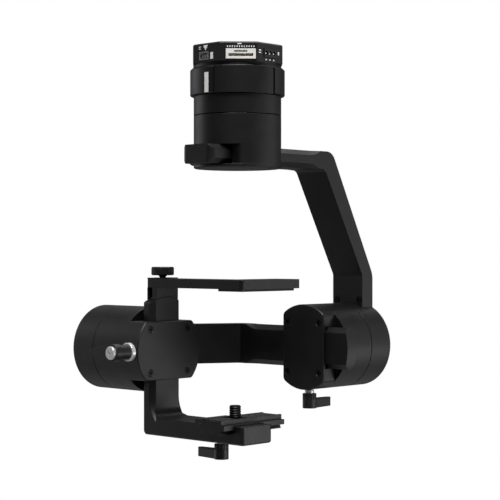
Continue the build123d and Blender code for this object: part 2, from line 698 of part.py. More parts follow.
with BuildPart() as tilt_clamp_lever:
    with BuildSketch(tilt_side.offset(hub_start)):
        Circle(TILT_HUB_R)
    extrude(amount=TILT_HUB_H)
    with BuildSketch(tilt_side.offset(tab_start)):
        Circle(TILT_TAB_R)
        with BuildLine():
            Polyline((0, TILT_TAB_R), (TILT_TAB_LENGTH - TILT_TAB_TIP_R, TILT_TAB_TIP_R),
                     (TILT_TAB_LENGTH - TILT_TAB_TIP_R, -TILT_TAB_TIP_R), (0, -TILT_TAB_R), close=True)
        make_face()
        with Locations((TILT_TAB_LENGTH - TILT_TAB_TIP_R, 0)):
            Circle(TILT_TAB_TIP_R)
    extrude(amount=TILT_TAB_H)
    with BuildSketch(tilt_side.offset(hub_start)):
        Circle(STUD_R)
    extrude(amount=screw_start - hub_start, mode=Mode.SUBTRACT)
save(tilt_clamp_lever.part, "tilt_clamp_lever")

with BuildPart() as tilt_clamp_screw:
    with BuildSketch(tilt_side.offset(screw_start)):
        Circle(TILT_SCREW_R)
    extrude(amount=TILT_SCREW_H)
    chamfer(tilt_clamp_screw.edges().group_by(Axis(tilt_side.origin, tilt_side.z_dir))[-1], 0.4)
    with BuildSketch(tilt_side.offset(screw_start + TILT_SCREW_H)):
        RegularPolygon(1.3, 6)
    extrude(amount=-1.2, mode=Mode.SUBTRACT)
    with BuildSketch(tilt_side.offset(TILT.channel + 0.6 - TILT_R)):
        Circle(STUD_R)
    extrude(amount=screw_start + TILT_R - TILT.channel - 0.6)
save(tilt_clamp_screw.part, "tilt_clamp_screw")


# ---- yaw arm --------------------------------------------------------------------------------
def rail_bevels(plane, corners, length):
    """Cutter for long bevels: corners lie on the plane, the bevels die out behind it."""
    depth = BEVEL / 2**0.5
    with BuildPart() as cutter:
        with BuildSketch(plane):
            with Locations(*corners):
                Rectangle(2 * depth, 2 * depth, rotation=45)
        extrude(amount=length)
        for x, y in corners:
            outward = (plane.x_dir * (1 if x > 0 else -1) + plane.y_dir * (1 if y > 0 else -1)).normalized()
            centre = plane.from_local_coords((x, y, 0)) + outward * (RUN_OUT_R - depth)
            across = outward.cross(plane.z_dir).normalized()
            with BuildSketch(Plane(origin=centre - across * depth, z_dir=across)):
                Circle(RUN_OUT_R)
            extrude(amount=2 * depth)
    return cutter.part


def box_corners(width, thickness):
    """The four corners of a rectangle centred on the plane."""
    return [(x * width / 2, y * thickness / 2) for x in (-1, 1) for y in (-1, 1)]


YAW_RAIL_BOTTOM = YAW_FACE_Z + PLATE_T + SLIDE_GAP
YAW_RAIL_TOP = YAW_RAIL_BOTTOM + YAW_RAIL_T
YAW_ARM_END_Z = -147.0
YAW_RAIL_FRONT_R = 3.6

with BuildPart() as yaw_arm:
    with BuildSketch(Plane.YZ.offset(-YAW_RAIL_W / 2)):
        with BuildLine():
            Polyline((0, YAW_RAIL_TOP), (YAW_ARM_CORNER_Y, YAW_RAIL_TOP),
                     (YAW_ARM_OUT, YAW_ARM_KNEE_OUT_Z), (YAW_ARM_OUT, YAW_ARM_END_Z),
                     (YAW_ARM_IN, YAW_ARM_END_Z), (YAW_ARM_IN, YAW_ARM_KNEE_IN_Z),
                     (YAW_ARM_INNER_Y, YAW_RAIL_BOTTOM), (0, YAW_RAIL_BOTTOM), close=True)
        make_face()
    extrude(amount=YAW_RAIL_W)
    bends = yaw_arm.edges().filter_by(Axis.X)
    fillet(bends.filter_by_position(Axis.Y, YAW_ARM_CORNER_Y - 1, YAW_ARM_CORNER_Y + 1), 7.5)
    bends = yaw_arm.edges().filter_by(Axis.X)
    fillet(bends.filter_by_position(Axis.Y, YAW_ARM_INNER_Y - 1, YAW_ARM_INNER_Y + 1), 4.0)
    knees = yaw_arm.edges().filter_by(Axis.X)
    fillet(knees.filter_by_position(Axis.Y, YAW_ARM_OUT - 0.1, YAW_ARM_OUT + 0.1).sort_by(Axis.Z)[-1], 12.0)
    knees = yaw_arm.edges().filter_by(Axis.X)
    fillet(knees.filter_by_position(Axis.Y, YAW_ARM_IN - 0.1, YAW_ARM_IN + 0.1).sort_by(Axis.Z)[-1], 4.0)
    with BuildSketch(Plane.XY.offset(YAW_RAIL_BOTTOM)):
        with BuildLine():
            Polyline((-YAW_RAIL_W / 2, 0), (YAW_RAIL_W / 2, 0), (YAW_RAIL_W / 2, YAW_ARM_FRONT),
                     (-YAW_RAIL_W / 2, YAW_ARM_FRONT), close=True)
        make_face()
    extrude(amount=YAW_RAIL_T)
    fillet(yaw_arm.edges().filter_by(Axis.Z).filter_by_position(Axis.Y, YAW_ARM_FRONT - 1, YAW_ARM_FRONT + 1),
           YAW_RAIL_FRONT_R)
    section = Plane(origin=(0, YAW_ARM_BEVEL_END, (YAW_RAIL_TOP + YAW_RAIL_BOTTOM) / 2),
                    x_dir=(1, 0, 0), z_dir=(0, -1, 0))
    add(rail_bevels(section, box_corners(YAW_RAIL_W, YAW_RAIL_T), YAW_ARM_BEVEL_END - YAW_ARM_FRONT + 1),
        mode=Mode.SUBTRACT)
    with BuildSketch(Plane.XZ.offset(-YAW_ARM_OUT - 1)):
        with Locations((0, ROLL_AXIS_Z)):
            Circle(ROLL_R + 0.05)
    extrude(amount=YAW_ARM_OUT - YAW_ARM_IN + 3, mode=Mode.SUBTRACT)
    tongue_y = (YAW_ARM_IN + YAW_ARM_OUT) / 2
    with BuildSketch(Plane.XY.offset(YAW_ARM_END_Z)):
        with Locations((0, tongue_y)):
            Rectangle(TONGUE_W + 0.8 + 0.1, TONGUE_T + 0.1)
    extrude(amount=TONGUE_TOP_Z - YAW_ARM_END_Z + 0.1, mode=Mode.SUBTRACT)
    with BuildSketch(Plane.XZ.offset(-YAW_ARM_IN)):
        with Locations((-ARM_SCREW_X, ARM_SCREW_Z), (ARM_SCREW_X, ARM_SCREW_Z)):
            Circle(M2_HEAD_R)
    extrude(amount=-0.9, mode=Mode.SUBTRACT)
    with BuildSketch(Plane.XZ.offset(-YAW_ARM_IN)):
        with Locations((-ARM_SCREW_X, ARM_SCREW_Z), (ARM_SCREW_X, ARM_SCREW_Z)):
            Circle(M2_R + 0.1)
    extrude(amount=-2.6, mode=Mode.SUBTRACT)
save(yaw_arm.part, "yaw_arm")

with BuildPart() as yaw_arm_screws:
    with BuildSketch(Plane.XZ.offset(-YAW_ARM_IN - 0.85)):
        with Locations((-ARM_SCREW_X, ARM_SCREW_Z), (ARM_SCREW_X, ARM_SCREW_Z)):
            Circle(M2_HEAD_R - 0.1)
    extrude(amount=1.15)
    with BuildSketch(Plane.XZ.offset(-YAW_ARM_IN - 5.2)):
        with Locations((-ARM_SCREW_X, ARM_SCREW_Z), (ARM_SCREW_X, ARM_SCREW_Z)):
            Circle(M2_R - 0.1)
    extrude(amount=4.4)
    with BuildSketch(Plane.XZ.offset(-YAW_ARM_IN + 0.3)):
        with Locations((-ARM_SCREW_X, ARM_SCREW_Z), (ARM_SCREW_X, ARM_SCREW_Z)):
            RegularPolygon(M2_KEY_R, 6)
    extrude(amount=-0.8, mode=Mode.SUBTRACT)
save(yaw_arm_screws.part, "yaw_arm_screws")

with BuildPart() as roll_stator_housing:
    add(cap_housing(ROLL))
    with BuildSketch(Plane.XY.offset(ROLL_AXIS_Z + ROLL_R - 1.6)):
        with Locations((0, tongue_y)):
            Rectangle(TONGUE_W + 0.8, TONGUE_T)
    extrude(amount=TONGUE_TOP_Z - ROLL_AXIS_Z - ROLL_R + 1.6)
    with BuildSketch(Plane.XZ.offset(-YAW_ARM_IN)):
        with Locations((-ARM_SCREW_X, ARM_SCREW_Z), (ARM_SCREW_X, ARM_SCREW_Z)):
            Circle(M2_R - 0.1)
    extrude(amount=-6.5, mode=Mode.SUBTRACT)
save(roll_stator_housing.part, "roll_stator_housing")

# ---- roll arm -------------------------------------------------------------------------------
ROLL_RAIL_Y = ROLL_FACE_Y + PLATE_T + SLIDE_GAP
ROLL_BEVEL_END_X = -36.0
elbow_in = (ROLL_ARM_ELBOW[0], ROLL_ARM_ELBOW[1])
HALF_RAIL = SIDE_RAIL_W / 2

with BuildPart() as roll_arm:
    with BuildSketch(Plane.XY.offset(ROLL_AXIS_Z - HALF_RAIL)):
        with BuildLine():
            Polyline((ROLL_END_R + 2, ROLL_RAIL_Y), (ROLL_ARM_CORNER_X, ROLL_RAIL_Y), elbow_in,
                     (-71.0, ROLL_ARM_INNER_Y), (ROLL_ARM_FOOT_X, ROLL_ARM_INNER_Y),
                     (ROLL_ARM_FOOT_X, 18.0), (ROLL_ARM_END_X, 18.0),
                     (ROLL_ARM_END_X, ROLL_ARM_INNER_Y + SIDE_RAIL_T),
                     (-72.3, ROLL_ARM_INNER_Y + SIDE_RAIL_T), (-55.4, ROLL_RAIL_Y + SIDE_RAIL_T),
                     (ROLL_END_R + 2, ROLL_RAIL_Y + SIDE_RAIL_T), close=True)
        make_face()
    extrude(amount=SIDE_RAIL_W)
    corners = roll_arm.edges().filter_by(Axis.Z)
    fillet(corners.filter_by_position(Axis.X, -55.5, -55.3), 7.0)
    corners = roll_arm.edges().filter_by(Axis.Z)
    fillet(corners.filter_by_position(Axis.X, ROLL_ARM_CORNER_X - 0.1, ROLL_ARM_CORNER_X + 0.1), 3.0)
    corners = roll_arm.edges().filter_by(Axis.Z)
    fillet(corners.filter_by_position(Axis.X, -72.4, -72.2), 10.0)
    corners = roll_arm.edges().filter_by(Axis.Z)
    fillet(corners.filter_by_position(Axis.X, ROLL_ARM_END_X - 0.1, ROLL_ARM_END_X + 0.1).sort_by(Axis.Y)[-1], 3.0)
    section = Plane(origin=(ROLL_BEVEL_END_X, ROLL_RAIL_Y + SIDE_RAIL_T / 2, ROLL_AXIS_Z),
                    x_dir=(0, 1, 0), z_dir=(1, 0, 0))
    add(rail_bevels(section, box_corners(SIDE_RAIL_T, SIDE_RAIL_W), ROLL_END_R - ROLL_BEVEL_END_X + 3),
        mode=Mode.SUBTRACT)
    with BuildSketch(Plane.XZ.offset(-ROLL_RAIL_Y + 1)):
        with Locations((ROLL_END_R, ROLL_AXIS_Z)):
            Rectangle(20, 2 * SIDE_RAIL_W)
        with Locations((0, ROLL_AXIS_Z)):
            Circle(ROLL_END_R, mode=Mode.SUBTRACT)
    extrude(amount=-SIDE_RAIL_T - 2, mode=Mode.SUBTRACT)
    with BuildSketch(Plane.YZ.offset(ROLL_ARM_END_X - 1)):
        with Locations((0, TILT_AXIS_Z)):
            Circle(TILT_R + 0.05)
    extrude(amount=ROLL_ARM_FOOT_X - ROLL_ARM_END_X + 3, mode=Mode.SUBTRACT)
    with BuildSketch(Plane.XZ.offset(-ROLL_ARM_INNER_Y - SIDE_RAIL_T)):
        with Locations(((ROLL_ARM_END_X + ROLL_ARM_FOOT_X) / 2, ROLL_AXIS_Z)):
            with GridLocations(1, 2 * ARM_SCREW_X, 1, 2):
                Circle(M2_HEAD_R)
    extrude(amount=0.9, mode=Mode.SUBTRACT)
    with BuildSketch(Plane.XZ.offset(-ROLL_ARM_INNER_Y - SIDE_RAIL_T)):
        with Locations(((ROLL_ARM_END_X + ROLL_ARM_FOOT_X) / 2, ROLL_AXIS_Z)):
            with GridLocations(1, 2 * ARM_SCREW_X, 1, 2):
                Circle(M2_R + 0.1)
    extrude(amount=16, mode=Mode.SUBTRACT)
save(roll_arm.part, "roll_arm")

with BuildPart() as roll_arm_screws:
    with BuildSketch(Plane.XZ.offset(-ROLL_ARM_INNER_Y - SIDE_RAIL_T - 0.3)):
        with Locations(((ROLL_ARM_END_X + ROLL_ARM_FOOT_X) / 2, ROLL_AXIS_Z)):
            with GridLocations(1, 2 * ARM_SCREW_X, 1, 2):
                Circle(M2_HEAD_R - 0.1)
    extrude(amount=1.15)
    with BuildSketch(Plane.XZ.offset(-ROLL_ARM_INNER_Y - SIDE_RAIL_T + 0.8)):
        with Locations(((ROLL_ARM_END_X + ROLL_ARM_FOOT_X) / 2, ROLL_AXIS_Z)):
            with GridLocations(1, 2 * ARM_SCREW_X, 1, 2):
                Circle(M2_R - 0.1)
    extrude(amount=12.6)
    with BuildSketch(Plane.XZ.offset(-ROLL_ARM_INNER_Y - SIDE_RAIL_T - 0.3)):
        with Locations(((ROLL_ARM_END_X + ROLL_ARM_FOOT_X) / 2, ROLL_AXIS_Z)):
            with GridLocations(1, 2 * ARM_SCREW_X, 1, 2):
                RegularPolygon(M2_KEY_R, 6)
    extrude(amount=0.8, mode=Mode.SUBTRACT)
save(roll_arm_screws.part, "roll_arm_screws")

with BuildPart() as tilt_stator_housing:
    add(cap_housing(TILT))
    with BuildSketch(Plane.XZ.offset(-TILT_R)):
        with Locations(((ROLL_ARM_END_X + ROLL_ARM_FOOT_X) / 2, ROLL_AXIS_Z)):
            with GridLocations(1, 2 * ARM_SCREW_X, 1, 2):
                Circle(M2_R - 0.1)
    extrude(amount=6, mode=Mode.SUBTRACT)
save(tilt_stator_housing.part, "tilt_stator_housing")

# ---- camera cage ----------------------------------------------------------------------------
QR_LEVER_X = -13.5
QR_LEVER_Y = 1.5
POST_X = (CAGE_OUT_X + CAGE_IN_X) / 2
KEY_TOP_HALF = QR_KEY_X - 0.8
CHANNEL_GAP = 0.12


def key_section(gap):
    """Dovetail key of the quick-release plate, grown by a gap."""
    with BuildSketch() as section:
        with BuildLine():
            Polyline((-KEY_TOP_HALF - gap, SEAT_Z + 0.1), (KEY_TOP_HALF + gap, SEAT_Z + 0.1),
                     (QR_KEY_X + gap, QR_KEY_Z - gap), (-QR_KEY_X - gap, QR_KEY_Z - gap), close=True)
        make_face()
    return section.sketch


with BuildPart() as cage_bracket:
    with BuildSketch(Plane.XZ.offset(-CAGE_HALF_W)):
        with BuildLine():
            Polyline((CAGE_OUT_X, CAGE_PEAK_Z + 2), (CAGE_IN_X, CAGE_PEAK_Z + 2), (CAGE_IN_X, CAGE_TOP_Z),
                     (SEAT_X, CAGE_TOP_Z), (SEAT_X, SEAT_Z), (FIXED_JAW_X, SEAT_Z), (FIXED_JAW_X, FIXED_JAW_TOP_Z),
                     (CAGE_END_X, FIXED_JAW_TOP_Z), (CAGE_END_X, CAGE_FLOOR_Z), (CAGE_OUT_X, CAGE_FLOOR_Z), close=True)
        make_face()
    extrude(amount=2 * CAGE_HALF_W)
    along = cage_bracket.edges().filter_by(Axis.Y)
    fillet(along.filter_by_position(Axis.X, CAGE_IN_X - 0.1, CAGE_IN_X + 0.1).sort_by(Axis.Z)[0], 5.0)
    along = cage_bracket.edges().filter_by(Axis.Y)
    fillet(along.filter_by_position(Axis.X, CAGE_OUT_X - 0.1, CAGE_OUT_X + 0.1).sort_by(Axis.Z)[0], 2.4)
    fillet(cage_bracket.edges().filter_by(Axis.Z).filter_by_position(Axis.X, CAGE_END_X - 0.1, CAGE_END_X + 0.1),
           2.0)
    back = cage_bracket.edges().filter_by(Axis.Z).filter_by_position(Axis.X, CAGE_OUT_X - 0.1, CAGE_OUT_X + 0.1)
    chamfer(back, CAGE_BACK_BEVEL)
    section = Plane(origin=(POST_X, 0, CAGE_FLARE_Z), x_dir=(1, 0, 0), z_dir=(0, 0, 1))
    front_corners = [(CAGE_IN_X - POST_X, -CAGE_HALF_W), (CAGE_IN_X - POST_X, CAGE_HALF_W)]
    add(rail_bevels(section, front_corners, CAGE_PEAK_Z + 3 - CAGE_FLARE_Z), mode=Mode.SUBTRACT)
    with BuildSketch(Plane.YZ.offset(CAGE_OUT_X - 1)):
        with Locations((0, CAGE_PEAK_Z)):
            Rectangle(3 * CAGE_HALF_W, 20)
        with Locations((0, CAGE_PEAK_Z - CAGE_TOP_R)):
            Circle(CAGE_TOP_R, mode=Mode.SUBTRACT)
    extrude(amount=SIDE_RAIL_T + 2, mode=Mode.SUBTRACT)
    with BuildSketch(Plane.XZ.offset(-CAGE_HALF_W - 1)):
        add(key_section(CHANNEL_GAP))
    extrude(amount=2 * CAGE_HALF_W + 2, mode=Mode.SUBTRACT)
    with BuildSketch(Plane.XY.offset(CAGE_PEAK_Z + 3)):
        with Locations((POST_X, 0)):
            Rectangle(TONGUE2_T + 0.3, TONGUE2_W + 0.3)
    extrude(amount=TONGUE2_BOTTOM_Z - 1 - CAGE_PEAK_Z - 3, mode=Mode.SUBTRACT)
    with BuildSketch(Plane.XY.offset(CAGE_FLOOR_Z - 1)):
        with Locations((QR_LEVER_X, QR_LEVER_Y)):
            Circle(STUD_R + 0.15)
    extrude(amount=20, mode=Mode.SUBTRACT)
save(cage_bracket.part, "cage_bracket")

JAW_BACK_X = -21.0
JAW_TOP_Z = -199.3
JAW_LIP_X = -7.8
JAW_FACE_X = -9.75

with BuildPart() as qr_jaw:
    with BuildSketch(Plane.XZ.offset(-CAGE_HALF_W)):
        with BuildLine():
            Polyline((JAW_BACK_X, CAGE_TOP_Z), (JAW_BACK_X, JAW_TOP_Z), (JAW_LIP_X, JAW_TOP_Z),
                     (JAW_LIP_X, QR_FLANGE_TOP_Z + 0.2), (JAW_FACE_X, QR_FLANGE_TOP_Z + 0.2),
                     (JAW_FACE_X, CAGE_TOP_Z), close=True)
        make_face()
    extrude(amount=2 * CAGE_HALF_W)
    chamfer(qr_jaw.edges().filter_by(Axis.Y).group_by(Axis.Z)[-1].sort_by(Axis.X)[0], 0.8)
    with BuildSketch(Plane.XY.offset(CAGE_TOP_Z)):
        with Locations((QR_LEVER_X, QR_LEVER_Y)):
            Circle(STUD_R + 0.1)
    extrude(amount=1.7, mode=Mode.SUBTRACT)
save(qr_jaw.part, "qr_jaw")

qr_lever_plane = Plane(origin=(QR_LEVER_X, QR_LEVER_Y, CAGE_FLOOR_Z), x_dir=(-1, 0, 0), z_dir=(0, 0, -1))
save(clamp_lever(qr_lever_plane, CAGE_TOP_Z - CAGE_FLOOR_Z + 1.6, LEVER_GAP), "qr_clamp_lever")

# ---- quick-release plate --------------------------------------------------------------------
DECK_LIP_W = 1.4
DECK_LIP_H = 0.8
SCREW_HEAD_R = 5.3
SCREW_HEAD_H = 2.0

with BuildPart() as qr_plate:
    with BuildSketch(Plane.XZ.offset(-QR_REAR_Y)):
        with Locations((0, (QR_TOP_Z + QR_FLANGE_TOP_Z) / 2)):
            Rectangle(2 * QR_LIP_X, QR_TOP_Z - QR_FLANGE_TOP_Z)
        with Locations((0, (QR_FLANGE_TOP_Z + SEAT_Z + 0.1) / 2)):
            Rectangle(2 * QR_FLANGE_X, QR_FLANGE_TOP_Z - SEAT_Z - 0.1)
        add(key_section(0))
    extrude(amount=QR_REAR_Y - QR_FRONT_Y)
    with BuildSketch(Plane.XY.offset(QR_TOP_Z)):
        with Locations((0, (QR_FRONT_Y + QR_REAR_Y) / 2)):
            Rectangle(2 * (QR_LIP_X - DECK_LIP_W), QR_REAR_Y - QR_FRONT_Y + 2)
    extrude(amount=-DECK_LIP_H, mode=Mode.SUBTRACT)
    with BuildSketch(Plane.XY.offset(QR_KEY_Z)):
        with Locations((0, CAMERA_SCREW_Y)):
            Circle(SCREW_HEAD_R + 0.3)
    extrude(amount=SCREW_HEAD_H + 0.3, mode=Mode.SUBTRACT)
    with BuildSketch(Plane.XY.offset(QR_KEY_Z)):
        with Locations((0, CAMERA_SCREW_Y)):
            Circle(CAMERA_SCREW_R + 0.3)
    extrude(amount=10, mode=Mode.SUBTRACT)
save(qr_plate.part, "qr_plate")

PAD_GAP = 0.4

with BuildPart() as qr_pads:
    with BuildSketch(Plane.XY.offset(QR_TOP_Z - DECK_LIP_H)):
        for start, end in ((QR_FRONT_Y + 1.5, CAMERA_SCREW_Y - 5.0), (CAMERA_SCREW_Y + 5.0, QR_REAR_Y - 1.5)):
            with Locations((0, (start + end) / 2)):
                Rectangle(2 * (QR_LIP_X - DECK_LIP_W - PAD_GAP), end - start)
    extrude(amount=DECK_LIP_H - 0.05)
save(qr_pads.part, "qr_pads")

with BuildPart() as camera_screw:
    with BuildSketch(Plane.XY.offset(QR_KEY_Z + 0.15)):
        with Locations((0, CAMERA_SCREW_Y)):
            Circle(SCREW_HEAD_R)
    extrude(amount=SCREW_HEAD_H - 0.15)
    with BuildSketch(Plane.XY.offset(QR_KEY_Z + 0.15)):
        with Locations((0, CAMERA_SCREW_Y)):
            Rectangle(2 * SCREW_HEAD_R, 1.4)
    extrude(amount=1.0, mode=Mode.SUBTRACT)
    with BuildSketch(Plane.XY.offset(QR_KEY_Z + SCREW_HEAD_H)):
        with Locations((0, CAMERA_SCREW_Y)):
            Circle(CAMERA_SHANK_R)
    extrude(amount=QR_TOP_Z - QR_KEY_Z - SCREW_HEAD_H)
    with BuildSketch(Plane.XY.offset(QR_TOP_Z)):
        with Locations((0, CAMERA_SCREW_Y)):
            Circle(CAMERA_SCREW_R)
    extrude(amount=CAMERA_SCREW_TOP_Z - QR_TOP_Z)
    chamfer(camera_screw.edges().filter_by(GeomType.CIRCLE).sort_by(Axis.Z)[-1], 0.5)
save(camera_screw.part, "camera_screw")

# ---- top support ----------------------------------------------------------------------------
NOTCH_W = 3.6
NOTCH_D = 3.0
NOTCH_X = -59.8          # the notches sit towards the post's back
POST_SCREW_BOTTOM = -131.5
KNOB_SCREW_R = 1.7
KNOB_R = 6.35
KNOB_TOP_Z = -117.9
KNOB_BOTTOM_Z = -122.6
KNOB_COLLAR_R = 2.5
KNOB_COLLAR_H = 0.9
KNOB_FLUTES = 24
BOSS_H = 0.5             # raised pad of the bar over the post

with BuildPart() as top_post:
    with BuildSketch(Plane.XY.offset(BAR_BOTTOM_Z)):
        with Locations((POST_X, 0)):
            Rectangle(CAGE_IN_X - CAGE_OUT_X, 2 * POST_HALF_W)
        with Locations((NOTCH_X, -POST_HALF_W), (NOTCH_X, POST_HALF_W)):
            Rectangle(NOTCH_W, 2 * NOTCH_D, mode=Mode.SUBTRACT)
    extrude(amount=CAGE_PEAK_Z - CAGE_TOP_R / 4 - BAR_BOTTOM_Z)
    with BuildSketch(Plane.YZ.offset(CAGE_OUT_X - 1)):
        with Locations((0, CAGE_PEAK_Z - CAGE_TOP_R)):
            Circle(CAGE_TOP_R + POST_GAP)
    extrude(amount=SIDE_RAIL_T + 2, mode=Mode.SUBTRACT)
    with BuildSketch(Plane.XY.offset(TONGUE2_BOTTOM_Z)):
        with Locations((POST_X, 0)):
            Rectangle(TONGUE2_T, TONGUE2_W)
    extrude(amount=CAGE_PEAK_Z + 1 - TONGUE2_BOTTOM_Z)
    with BuildSketch(Plane.XY.offset(BAR_BOTTOM_Z)):
        with Locations((POST_X, 0)):
            Circle(KNOB_SCREW_R + 0.1)
    extrude(amount=POST_SCREW_BOTTOM - BAR_BOTTOM_Z - 0.3, mode=Mode.SUBTRACT)
save(top_post.part, "top_post")

with BuildPart() as top_bar:
    with BuildSketch(Plane.XY.offset(BAR_BOTTOM_Z)):
        with BuildLine():
            Polyline((CAGE_OUT_X, -POST_HALF_W), (BAR_END_X, -POST_HALF_W), (BAR_END_X, FOOT_Y), (FOOT_X, FOOT_Y),
                     (FOOT_X, POST_HALF_W), (CAGE_OUT_X, POST_HALF_W), close=True)
        make_face()
    extrude(amount=BAR_TOP_Z - BAR_BOTTOM_Z)
    back_corners = top_bar.edges().filter_by(Axis.Z).group_by(Axis.X)[0]
    fillet(back_corners, 0.5)
    fillet(top_bar.edges().filter_by(Axis.Z).filter_by_position(Axis.X, FOOT_X - 1, BAR_END_X + 1), 2.0)
    with BuildSketch(Plane.XY.offset(BAR_TOP_Z)):
        with Locations((POST_X, 0)):
            Rectangle(CAGE_IN_X - CAGE_OUT_X, 2 * POST_HALF_W)
    extrude(amount=BOSS_H)
    with BuildSketch(Plane.XY.offset(BAR_BOTTOM_Z)):
        with Locations((POST_X, 0)):
            Circle(KNOB_SCREW_R + 0.1)
    extrude(amount=BAR_TOP_Z + BOSS_H - BAR_BOTTOM_Z, mode=Mode.SUBTRACT)
save(top_bar.part, "top_bar")

TOP_PAD_T = 1.2

with BuildPart() as top_pad:
    with BuildSketch(Plane.XY.offset(BAR_BOTTOM_Z - TOP_PAD_T)):
        with BuildLine():
            Polyline((FOOT_X + 1, -POST_HALF_W + 0.5), (BAR_END_X - 0.5, -POST_HALF_W + 0.5),
                     (BAR_END_X - 0.5, FOOT_Y - 5.0), (FOOT_X + 1, FOOT_Y - 5.0), close=True)
        make_face()
    extrude(amount=TOP_PAD_T)
    fillet(top_pad.edges().filter_by(Axis.Z), 1.6)
save(top_pad.part, "top_pad")

with BuildPart() as thumb_knob:
    with BuildSketch(Plane.XY.offset(KNOB_BOTTOM_Z)):
        with Locations((POST_X, 0)):
            Circle(KNOB_R)
    extrude(amount=KNOB_TOP_Z - KNOB_BOTTOM_Z)
    chamfer(thumb_knob.edges(), 0.5)
    with BuildSketch(Plane.XY.offset(KNOB_BOTTOM_Z)):
        with Locations((POST_X, 0)):
            with PolarLocations(KNOB_R + 0.15, KNOB_FLUTES):
                Circle(0.42)
    extrude(amount=KNOB_TOP_Z - KNOB_BOTTOM_Z, mode=Mode.SUBTRACT)
    with BuildSketch(Plane.XY.offset(POST_SCREW_BOTTOM)):
        with Locations((POST_X, 0)):
            Circle(KNOB_SCREW_R)
    extrude(amount=KNOB_BOTTOM_Z - POST_SCREW_BOTTOM + 0.1)
    with BuildSketch(Plane.XY.offset(KNOB_BOTTOM_Z)):
        with Locations((POST_X, 0)):
            Circle(KNOB_COLLAR_R)
    extrude(amount=-KNOB_COLLAR_H, taper=35)
save(thumb_knob.part, "thumb_knob")
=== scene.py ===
"""Looks of the camera gimbal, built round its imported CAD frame. Metres, +Z up, the camera looks along -Y."""
import json
import math

import bmesh
import bpy
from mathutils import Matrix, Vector


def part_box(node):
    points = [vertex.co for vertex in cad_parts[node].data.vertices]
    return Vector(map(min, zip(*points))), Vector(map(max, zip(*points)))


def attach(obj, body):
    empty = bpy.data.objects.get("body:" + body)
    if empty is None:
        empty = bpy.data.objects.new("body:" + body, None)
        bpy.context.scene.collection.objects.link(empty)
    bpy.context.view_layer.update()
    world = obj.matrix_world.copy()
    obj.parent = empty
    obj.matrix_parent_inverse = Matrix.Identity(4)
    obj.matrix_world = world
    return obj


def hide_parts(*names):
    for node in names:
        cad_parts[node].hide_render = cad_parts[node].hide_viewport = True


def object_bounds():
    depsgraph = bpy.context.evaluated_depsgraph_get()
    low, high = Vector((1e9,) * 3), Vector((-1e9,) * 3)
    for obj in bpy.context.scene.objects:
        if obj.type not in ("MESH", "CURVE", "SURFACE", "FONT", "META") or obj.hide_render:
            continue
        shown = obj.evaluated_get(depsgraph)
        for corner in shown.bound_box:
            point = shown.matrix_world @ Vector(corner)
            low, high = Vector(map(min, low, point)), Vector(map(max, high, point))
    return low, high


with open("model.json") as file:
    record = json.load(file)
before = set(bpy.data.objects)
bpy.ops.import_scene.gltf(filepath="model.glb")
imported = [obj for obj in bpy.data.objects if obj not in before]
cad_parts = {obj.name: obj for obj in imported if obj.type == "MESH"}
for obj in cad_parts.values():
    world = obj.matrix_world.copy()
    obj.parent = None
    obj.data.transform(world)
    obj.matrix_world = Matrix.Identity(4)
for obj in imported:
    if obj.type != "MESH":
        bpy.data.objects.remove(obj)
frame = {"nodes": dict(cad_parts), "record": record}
cad_low, cad_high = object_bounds()
MM = 0.001                       # every length below is in millimetres times MM, unless it says metres


# ---- node helpers -----------------------------------------------------------------------------
EDGE_SAMPLES = 6                 # rays of a rounded-edge lookup
EDGE_START, EDGE_FULL = 0.99, 0.80   # cosines between true and rounded normal where an edge starts and is full


